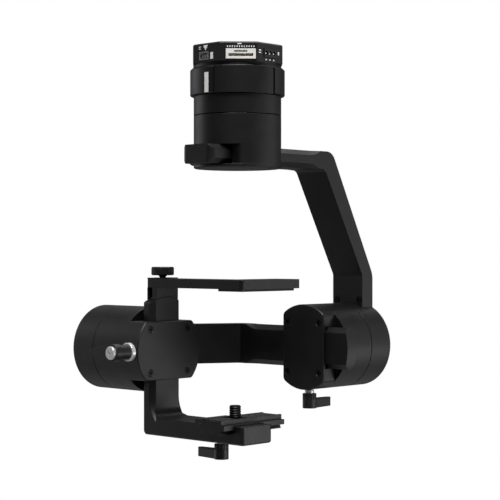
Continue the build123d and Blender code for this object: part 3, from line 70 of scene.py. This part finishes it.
class Graph:
    """A material with its node tree, and short ways to add and join nodes."""

    def __init__(self, name):
        self.material = bpy.data.materials.new(name)
        self.material.use_nodes = True
        self.tree = self.material.node_tree
        self.shader = self.tree.nodes["Principled BSDF"]
        self.coords = self.add("ShaderNodeTexCoord").outputs["Object"]

    def add(self, kind, **settings):
        node = self.tree.nodes.new(kind)
        for key, value in settings.items():
            setattr(node, key, value)
        return node

    def join(self, source, target):
        self.tree.links.new(source, target)

    def noise(self, size, detail=2.0, rough=0.5):
        """Noise whose cells are about size metres."""
        mapping = self.add("ShaderNodeMapping")
        mapping.inputs["Scale"].default_value = [1.0 / size] * 3
        self.join(self.coords, mapping.inputs["Vector"])
        node = self.add("ShaderNodeTexNoise")
        node.inputs["Scale"].default_value = 1.0
        node.inputs["Detail"].default_value = detail
        node.inputs["Roughness"].default_value = rough
        self.join(mapping.outputs["Vector"], node.inputs["Vector"])
        return node.outputs["Fac"]

    def ramp(self, source, low, high, out_low, out_high):
        node = self.add("ShaderNodeMapRange", clamp=True)
        for key, value in (("From Min", low), ("From Max", high), ("To Min", out_low), ("To Max", out_high)):
            node.inputs[key].default_value = value
        self.join(source, node.inputs["Value"])
        return node.outputs["Result"]

    def math(self, operation, a, b):
        node = self.add("ShaderNodeMath", operation=operation)
        for socket, value in zip(node.inputs, (a, b)):
            if isinstance(value, (int, float)):
                socket.default_value = value
            else:
                self.join(value, socket)
        return node.outputs[0]

    def mix(self, factor, a, b):
        """Mix of two colours; a and b are tuples or sockets."""
        node = self.add("ShaderNodeMix", data_type="RGBA")
        self.join(factor, node.inputs[0])
        for socket, value in ((node.inputs[6], a), (node.inputs[7], b)):
            if isinstance(value, tuple):
                socket.default_value = (*value, 1.0)
            else:
                self.join(value, socket)
        return node.outputs[2]

    def edges(self, radius):
        """(rounded normal, mask that is 1 on edges sharper than the radius)."""
        bevel = self.add("ShaderNodeBevel", samples=EDGE_SAMPLES)
        bevel.inputs["Radius"].default_value = radius
        geometry = self.add("ShaderNodeNewGeometry")
        dot = self.add("ShaderNodeVectorMath", operation="DOT_PRODUCT")
        self.join(bevel.outputs["Normal"], dot.inputs[0])
        self.join(geometry.outputs["Normal"], dot.inputs[1])
        mask = self.ramp(dot.outputs["Value"], EDGE_START, EDGE_FULL, 0.0, 1.0)
        return bevel.outputs["Normal"], mask

    def bump(self, height, distance, strength, normal=None):
        node = self.add("ShaderNodeBump")
        node.inputs["Distance"].default_value = distance
        node.inputs["Strength"].default_value = strength
        self.join(height, node.inputs["Height"])
        if normal is not None:
            self.join(normal, node.inputs["Normal"])
        return node.outputs["Normal"]

    def finish(self, colour, roughness, normal):
        self.join(colour, self.shader.inputs["Base Color"])
        self.join(roughness, self.shader.inputs["Roughness"])
        self.join(normal, self.shader.inputs["Normal"])
        return self.material


MOTTLE_SIZE = 9 * MM             # patches of the two tints of a coating
RUB_SIZE = 2.2 * MM              # worn patches along its edges
HAZE_SIZE = 14 * MM              # patches of more and less gloss
STAIN_SIZE = 5 * MM              # dull patches of bare metal
HAZE_DOWN, HAZE_UP = 0.035, 0.045    # how far the gloss patches move the roughness
LINE_DOWN, LINE_UP = 0.05, 0.08      # the same for the lines of bare metal
EDGE_GLOSS, METAL_EDGE_GLOSS = 0.05, 0.06
STAIN_TINT = 0.55                # brightness of a dull patch
STAIN_AMOUNT = 0.35
COAT_BUMP, METAL_BUMP = 0.35, 0.5


def coated(name, dark, light, rough, grain, depth, wear, wear_amount, edge=0.25 * MM):
    """A dull coating: two tints mottled, fine grain, rounded edges that are rubbed a little lighter."""
    g = Graph(name)
    normal, mask = g.edges(edge)
    body = g.mix(g.ramp(g.noise(MOTTLE_SIZE, 4.0), 0.35, 0.65, 0.0, 1.0), dark, light)
    rubbed = g.math("MULTIPLY", mask, g.ramp(g.noise(RUB_SIZE, 5.0, 0.65), 0.42, 0.7, 0.0, wear_amount))
    colour = g.mix(rubbed, body, wear)
    spread = g.ramp(g.noise(HAZE_SIZE, 5.0, 0.6), 0.3, 0.7, rough - HAZE_DOWN, rough + HAZE_UP)
    roughness = g.math("SUBTRACT", spread, g.math("MULTIPLY", mask, EDGE_GLOSS))
    bumped = g.bump(g.noise(grain, 2.0, 0.6), depth, COAT_BUMP, normal)
    return g.finish(colour, roughness, bumped)


METAL_EDGE = 0.15 * MM
METAL_DEPTH = 0.01 * MM


def metal(name, colour, bright, rough, grain, metallic=1.0):
    """Bare metal: two tints in fine grain, with dull patches and glossier edges."""
    g = Graph(name)
    g.shader.inputs["Metallic"].default_value = metallic
    normal, mask = g.edges(METAL_EDGE)
    lines = g.noise(grain, 3.0, 0.6)
    tint = g.mix(g.ramp(lines, 0.3, 0.7, 0.0, 1.0), colour, bright)
    dull = tuple(STAIN_TINT * c for c in colour)
    stain = g.mix(g.ramp(g.noise(STAIN_SIZE, 4.0), 0.55, 0.8, 0.0, STAIN_AMOUNT), tint, dull)
    spread = g.ramp(lines, 0.3, 0.7, rough - LINE_DOWN, rough + LINE_UP)
    roughness = g.math("SUBTRACT", spread, g.math("MULTIPLY", mask, METAL_EDGE_GLOSS))
    return g.finish(stain, roughness, g.bump(lines, METAL_DEPTH, METAL_BUMP, normal))


# coated: name, darker tint, lighter tint, roughness, grain size, grain depth, tint of a worn edge, its amount
# metal: name, darker tint, brighter tint, roughness, grain size
MATERIALS = {
    "anodised": coated("anodised_black", (0.0020, 0.0021, 0.0023), (0.0034, 0.0035, 0.0038), 0.42,
                       0.16 * MM, 0.012 * MM, (0.05, 0.05, 0.053), 0.3),
    "lever_black": coated("moulded_black", (0.004, 0.004, 0.0043), (0.007, 0.007, 0.0073), 0.46,
                          0.22 * MM, 0.02 * MM, (0.12, 0.12, 0.124), 0.5, edge=0.4 * MM),
    "black_screw": metal("black_oxide", (0.018, 0.018, 0.019), (0.034, 0.034, 0.036), 0.40, 0.12 * MM),
    "bright_steel": metal("bright_steel", (0.72, 0.72, 0.73), (0.88, 0.88, 0.88), 0.28, 0.1 * MM, metallic=0.55),
    "header_white": coated("white_moulding", (0.80, 0.80, 0.77), (0.88, 0.88, 0.85), 0.3,
                           0.2 * MM, 0.01 * MM, (0.7, 0.69, 0.64), 0.3),
    "contact_gold": metal("gold_plate", (0.62, 0.42, 0.13), (0.85, 0.62, 0.25), 0.22, 0.08 * MM),
    "port_grey": metal("tinned_shell", (0.42, 0.43, 0.45), (0.62, 0.63, 0.65), 0.3, 0.1 * MM),
    "socket_black": coated("black_moulding", (0.006, 0.006, 0.006), (0.010, 0.010, 0.0105), 0.28,
                           0.2 * MM, 0.01 * MM, (0.04, 0.04, 0.04), 0.2),
    "board": coated("solder_mask", (0.006, 0.055, 0.03), (0.012, 0.09, 0.05), 0.35, 0.3 * MM, 0.02 * MM,
                    (0.35, 0.3, 0.18), 0.4),
    "lamination": metal("lamination", (0.12, 0.12, 0.13), (0.3, 0.3, 0.32), 0.42, 0.35 * MM),
    "copper": metal("enamelled_wire", (0.30, 0.08, 0.02), (0.62, 0.24, 0.09), 0.28, 0.35 * MM),
    "magnet": metal("nickel_plate", (0.40, 0.40, 0.41), (0.55, 0.54, 0.53), 0.3, 0.5 * MM),
    "pad_rubber": coated("ribbed_rubber", (0.008, 0.008, 0.008), (0.014, 0.014, 0.014), 0.7,
                         0.35 * MM, 0.05 * MM, (0.03, 0.03, 0.03), 0.3),
}

for part in frame["record"]["subparts"]:
    node = frame["nodes"][part["node"]]
    node.data.materials.clear()
    node.data.materials.append(MATERIALS[part["material_slot"]])

# ---- detail pieces ------------------------------------------------------------------------------
def shell(rings):
    """(vertices, faces) of a skin over rings of equal length, capped at both ends."""
    count = len(rings[0])
    points = [point for ring in rings for point in ring]
    skin = []
    for row in range(len(rings) - 1):
        for step in range(count):
            following = (step + 1) % count
            low, high = row * count, (row + 1) * count
            skin.append((low + step, low + following, high + following, high + step))
    skin.append(tuple(reversed(range(count))))
    skin.append(tuple(range(len(points) - count, len(points))))
    return points, skin


def piece(name, parts, body, slot):
    """One object from (vertices, faces) parts; it moves with the body and takes the slot's material."""
    points, skin = [], []
    for part_points, part_skin in parts:
        shift = len(points)
        points += [tuple(point) for point in part_points]
        skin += [tuple(index + shift for index in face) for face in part_skin]
    mesh = bpy.data.meshes.new(name)
    mesh.from_pydata(points, [], skin)
    work = bmesh.new()
    work.from_mesh(mesh)
    bmesh.ops.recalc_face_normals(work, faces=work.faces)
    work.to_mesh(mesh)
    work.free()
    mesh.materials.append(MATERIALS[slot])
    made = bpy.data.objects.new(name, mesh)
    bpy.context.scene.collection.objects.link(made)
    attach(made, body)
    return made


ROUND_SEGMENTS = 48


def turned(profile, origin, axis, segments=ROUND_SEGMENTS):
    """Skin turned round an axis; profile is (radius, height) pairs in mm."""
    frame_turn = Vector((0, 0, 1)).rotation_difference(Vector(axis)).to_matrix()
    rings = []
    for radius, height in profile:
        angles = [2 * math.pi * step / segments for step in range(segments)]
        ring = [Vector((radius * math.cos(a), radius * math.sin(a), height)) * MM for a in angles]
        rings.append([Vector(origin) + frame_turn @ point for point in ring])
    return shell(rings)


def prism(outline, origin, across, up, out, low, high):
    """Prism over an outline of (across, up) pairs in mm, from low to high along out."""
    def ring(depth):
        return [origin + (across * x + up * y + out * depth) * MM for x, y in outline]
    return shell([ring(low), ring(high)])


def box_outline(x, y, width, height):
    return [(x - width / 2, y - height / 2), (x + width / 2, y - height / 2),
            (x + width / 2, y + height / 2), (x - width / 2, y + height / 2)]


UP = Vector((0, 0, 1))
MARK_LOW, MARK_HIGH = -0.06, 0.03      # depths of the printed marks, from just inside the block to just off it
FRONT_FACET, MIDDLE_FACET, LEFT_FACET = -90, -45, 0   # azimuths of the block's printed faces
block_low, block_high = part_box("connector_block")
apothem = block_high.x


def facet(azimuth):
    """(origin, across, out) of one face of the octagonal block, at the height of its top."""
    out = Vector((math.cos(math.radians(azimuth)), math.sin(math.radians(azimuth)), 0))
    return out * apothem + Vector((0, 0, block_high.z)), UP.cross(out), out


def marks(azimuth, outlines):
    origin, across_face, out = facet(azimuth)
    return [prism(outline, origin, across_face, UP, out, MARK_LOW, MARK_HIGH) for outline in outlines]


# Marks are (across, up, width, height) from the middle of a face's top edge.
TRIANGLE = [(-2.3, -1.2), (-0.45, -4.0), (1.4, -1.2)]
FRONT_BARS = [(-4.6, -1.9, 1.6, 0.5), (-4.6, -2.9, 1.6, 0.5)]
HEADER_PITCH = 1.25
HEADER_TICKS = [(-5.6 + HEADER_PITCH * count, -2.7, 0.55, 0.9) for count in range(12)]
HEADER_BAR = [(0.6, -1.3, 2.2, 0.6)]
SOCKET_PITCH = 2.9
SOCKET_BARS = [(-7.6, -4.4, 1.7, 0.6), (-7.6, -5.6, 1.7, 0.6), (6.6, -5.0, 1.0, 1.6)]
SOCKET_TICKS = [(SOCKET_PITCH * (count - 1), -8.9, 1.1, 0.7) for count in range(3)]
front_marks = marks(FRONT_FACET, [TRIANGLE] + [box_outline(*bar) for bar in FRONT_BARS])
middle_marks = marks(MIDDLE_FACET, [box_outline(*bar) for bar in HEADER_TICKS + HEADER_BAR])
left_marks = marks(LEFT_FACET, [box_outline(*bar) for bar in SOCKET_BARS + SOCKET_TICKS])
piece("block_marks", front_marks + middle_marks + left_marks, "base", "header_white")

# Turned profiles are (radius, height) pairs.
SOCKET_PIN = [(0.0, -2.1), (0.74, -2.1), (0.74, -0.35), (0.62, -0.15), (0.35, -0.05), (0.0, -0.02)]
SOCKET_Z = -5.4
PIN_SEGMENTS = 24
side_origin, side_across, side_out = facet(LEFT_FACET)
pin_shifts = (-SOCKET_PITCH, 0.0, SOCKET_PITCH)
pin_seats = [side_origin + side_across * shift * MM + UP * SOCKET_Z * MM for shift in pin_shifts]
piece("socket_pins", [turned(SOCKET_PIN, seat, side_out, PIN_SEGMENTS) for seat in pin_seats], "base", "port_grey")

COLLAR_SLEEVE = [(2.40, 0.30), (2.56, 0.30), (2.60, 0.42), (2.60, 2.12), (2.56, 2.24), (2.40, 2.24)]
joints = {joint["name"]: joint for joint in frame["record"]["behaviour"]["joints"]}
for lever in ("yaw", "roll", "qr"):
    hinge = joints[lever + "_lever_turn"]
    piece(lever + "_stud_collar", [turned(COLLAR_SLEEVE, hinge["pos_m"], hinge["axis"])],
          lever + "_lever", "bright_steel")

THREAD_PITCH = 1.27
THREAD_DEPTH = 0.28
THREAD_CHAMFER = 0.5
THREAD_STEPS = 14                      # rings for each turn of thread
FLANK_SLOPE = 2.3                      # how fast the flank falls from the crest over a pitch
CREST_GAIN = 1.25                      # flattens the crest
WELD = 1e-7


def threaded_rod(centre, low, high, outer):
    """Rod with a helical thread, in mm; the thread starts and ends on a chamfer."""
    rings = []
    levels = int((high - low) / THREAD_PITCH * THREAD_STEPS)
    for level in range(levels + 1):
        height = low + (high - low) * level / levels
        ring = []
        for step in range(ROUND_SEGMENTS):
            turn = step / ROUND_SEGMENTS
            phase = (height / THREAD_PITCH - turn) % 1.0
            crest = max(0.0, 1.0 - abs(phase - 0.5) * FLANK_SLOPE)
            end = min(height - low, high - height)
            limit = outer - max(0.0, THREAD_CHAMFER - end)
            radius = min(outer - THREAD_DEPTH * (1.0 - min(1.0, crest * CREST_GAIN)), limit)
            angle = 2 * math.pi * turn
            x, y = centre[0] + radius * math.cos(angle), centre[1] + radius * math.sin(angle)
            ring.append(Vector((x, y, height)) * MM)
        rings.append(ring)
    return shell(rings)


def mesh_below(node, height):
    """(vertices, faces) of a node's mesh under a height, closed where it is cut off."""
    work = bmesh.new()
    work.from_mesh(frame["nodes"][node].data)
    work.transform(frame["nodes"][node].matrix_world)
    upper = [face for face in work.faces if face.calc_center_median().z > height]
    bmesh.ops.delete(work, geom=upper, context="FACES")
    bmesh.ops.remove_doubles(work, verts=work.verts, dist=WELD)
    bmesh.ops.holes_fill(work, edges=[edge for edge in work.edges if edge.is_boundary])
    work.verts.index_update()
    points = [vertex.co.copy() for vertex in work.verts]
    skin = [tuple(vertex.index for vertex in face.verts) for face in work.faces]
    work.free()
    return points, skin


pin_mount = next(mount for mount in frame["record"]["mounts"] if mount["name"] == "camera_thread")
screw_low, screw_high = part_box("camera_screw")
pin_x, pin_y, pin_z = (value / MM for value in pin_mount["pos_m"])
thread_start = pin_z - pin_mount["dims"]["length_mm"] / 2
rod = threaded_rod((pin_x, pin_y), thread_start, screw_high.z / MM, pin_mount["dims"]["r_mm"])
new_screw = piece("camera_screw_threaded", [mesh_below("camera_screw", thread_start * MM), rod],
                  "camera_screw", "black_screw")
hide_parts("camera_screw")

RIB_PITCH = 1.3
RIB_DEPTH = 0.35
GROOVE_END, RIB_START, RIB_END, GROOVE_START = 0.08, 0.2, 0.8, 0.92   # fractions of a pitch
SCREW_CLEARANCE = 5.0                  # from the camera screw's axis to either pad


def ribbed_pad(low, high, ribs_up):
    """Pad between two corners, ribbed along Y on its top or its underside."""
    count = max(2, round((high.y - low.y) / (RIB_PITCH * MM)))
    pitch = (high.y - low.y) / count
    worn, deep = (high.z, high.z - RIB_DEPTH * MM) if ribs_up else (low.z, low.z + RIB_DEPTH * MM)
    back = low.z if ribs_up else high.z
    outline = [(low.y, back)]
    for rib in range(count):
        start = low.y + rib * pitch
        outline += [(start + GROOVE_END * pitch, deep), (start + RIB_START * pitch, worn),
                    (start + RIB_END * pitch, worn), (start + GROOVE_START * pitch, deep)]
    outline += [(high.y, back)]
    return shell([[Vector((x, y, z)) for y, z in outline] for x in (low.x, high.x)])


pads_low, pads_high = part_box("qr_pads")
hole = SCREW_CLEARANCE * MM
screw_y = pin_y * MM
front_pad = ribbed_pad(pads_low, Vector((pads_high.x, screw_y - hole, pads_high.z)), True)
rear_pad = ribbed_pad(Vector((pads_low.x, screw_y + hole, pads_low.z)), pads_high, True)
new_pads = piece("qr_pads_ribbed", [front_pad, rear_pad], "plate", "pad_rubber")
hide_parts("qr_pads")
new_top_pad = piece("top_pad_ribbed", [ribbed_pad(*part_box("top_pad"), False)], "support", "pad_rubber")
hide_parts("top_pad")

# ---- camera -----------------------------------------------------------------------------------
VIEW_AZIMUTH = math.radians(43.5)
VIEW_DISTANCE = 0.800            # metres from the yaw axis
VIEW_HEIGHT = -0.109             # metres
VIEW_LENS = 107.66               # focal length, mm
VIEW_SHIFT = 0.002
SIDE_STEP = 0.0067               # metres to the viewer's right of the yaw axis
CLIP_START = 0.01
towards = Vector((math.sin(VIEW_AZIMUTH), -math.cos(VIEW_AZIMUTH), 0))
across = Vector((math.cos(VIEW_AZIMUTH), math.sin(VIEW_AZIMUTH), 0))
camera = bpy.data.objects.new("camera", bpy.data.cameras.new("camera"))
bpy.context.scene.collection.objects.link(camera)
camera.data.lens = VIEW_LENS
camera.data.shift_y = VIEW_SHIFT
camera.data.clip_start = CLIP_START
camera.location = towards * VIEW_DISTANCE + across * SIDE_STEP + Vector((0, 0, VIEW_HEIGHT))
camera.rotation_euler = (math.pi / 2, 0, VIEW_AZIMUTH)
bpy.context.scene.camera = camera


# ---- light and floor ----------------------------------------------------------------------------
def softbox(name, position, aim, width, height, power):
    light = bpy.data.objects.new(name, bpy.data.lights.new(name, "AREA"))
    light.data.shape = "RECTANGLE"
    light.data.size, light.data.size_y = width, height
    light.data.energy = power
    light.location = position
    light.rotation_euler = (Vector(aim) - Vector(position)).to_track_quat("-Z", "Y").to_euler()
    light.visible_camera = False
    bpy.context.scene.collection.objects.link(light)


middle = (cad_low + cad_high) / 2


def around(azimuth, elevation, distance):
    """Point at a direction from the object's middle; azimuth 0 is +X, 90 is +Y."""
    turn, rise = math.radians(azimuth), math.radians(elevation)
    flat = Vector((math.cos(turn), math.sin(turn), 0)) * math.cos(rise)
    return middle + (flat + Vector((0, 0, math.sin(rise)))) * distance


# name, azimuth, elevation, distance, width, height, watts
LIGHTS = [
    ("right_box", 50, 10, 1.2, 0.8, 1.0, 1.15),
    ("low_box", 26, -26, 1.2, 0.8, 0.7, 8.0),
    ("left_box", -165, 4, 1.2, 0.7, 1.2, 2.4),
    ("key_box", -46, 62, 1.3, 0.8, 0.8, 21.0),
    ("top_box", 120, 66, 1.2, 0.9, 0.9, 9.0),
]
for name, azimuth, elevation, distance, width, height, watts in LIGHTS:
    softbox(name, around(azimuth, elevation, distance), middle, width, height, watts)

BACKDROP = 1.0                   # white behind the object, seen by the camera only
FILL = 0.10                      # even light from all round, for everything else
world = bpy.data.worlds.new("studio")
bpy.context.scene.world = world
world.use_nodes = True
tree = world.node_tree
paper = tree.nodes["Background"]
paper.inputs["Color"].default_value = (1, 1, 1, 1)
paper.inputs["Strength"].default_value = BACKDROP
fill = tree.nodes.new("ShaderNodeBackground")
fill.inputs["Color"].default_value = (1, 1, 1, 1)
fill.inputs["Strength"].default_value = FILL
path = tree.nodes.new("ShaderNodeLightPath")
blend = tree.nodes.new("ShaderNodeMixShader")
tree.links.new(path.outputs["Is Camera Ray"], blend.inputs[0])
tree.links.new(fill.outputs[0], blend.inputs[1])
tree.links.new(paper.outputs[0], blend.inputs[2])
tree.links.new(blend.outputs[0], tree.nodes["World Output"].inputs["Surface"])
bpy.context.scene.view_settings.view_transform = "Standard"

FLOOR_DROP = 0.20                # metres below the object, which hangs
FLOOR_R = 1.2                    # metres
FLOOR_SEGMENTS = 96
FADE_START, FADE_END = 0.3, 0.85 # metres from the middle, where the floor melts into the backdrop
FLOOR_BOUNCE = (0.3, 0.3, 0.3)   # tone for all light but the camera's, so the underside stays dark
shape = bmesh.new()
bmesh.ops.create_circle(shape, cap_ends=True, segments=FLOOR_SEGMENTS, radius=FLOOR_R)
floor_mesh = bpy.data.meshes.new("floor")
shape.to_mesh(floor_mesh)
shape.free()
floor = bpy.data.objects.new("floor", floor_mesh)
floor.location = (0, 0, cad_low.z - FLOOR_DROP)
bpy.context.scene.collection.objects.link(floor)
g = Graph("floor_paper")
seen = g.add("ShaderNodeLightPath").outputs["Is Camera Ray"]
paper_tone = g.mix(g.noise(0.05, 3.0), (0.88, 0.88, 0.88), (0.92, 0.92, 0.92))
tone = g.mix(seen, FLOOR_BOUNCE, paper_tone)
g.finish(tone, g.ramp(g.noise(0.03), 0.3, 0.7, 0.85, 0.95), g.bump(g.noise(0.002), 0.0001, 0.2))
radius = g.add("ShaderNodeVectorMath", operation="LENGTH")
g.join(g.coords, radius.inputs[0])
fade = g.ramp(radius.outputs["Value"], FADE_START, FADE_END, 0.0, 1.0)
clear = g.add("ShaderNodeBsdfTransparent")
both = g.add("ShaderNodeMixShader")
g.join(fade, both.inputs[0])
g.join(g.shader.outputs[0], both.inputs[1])
g.join(clear.outputs[0], both.inputs[2])
g.join(both.outputs[0], g.tree.nodes["Material Output"].inputs["Surface"])
floor.data.materials.append(g.material)
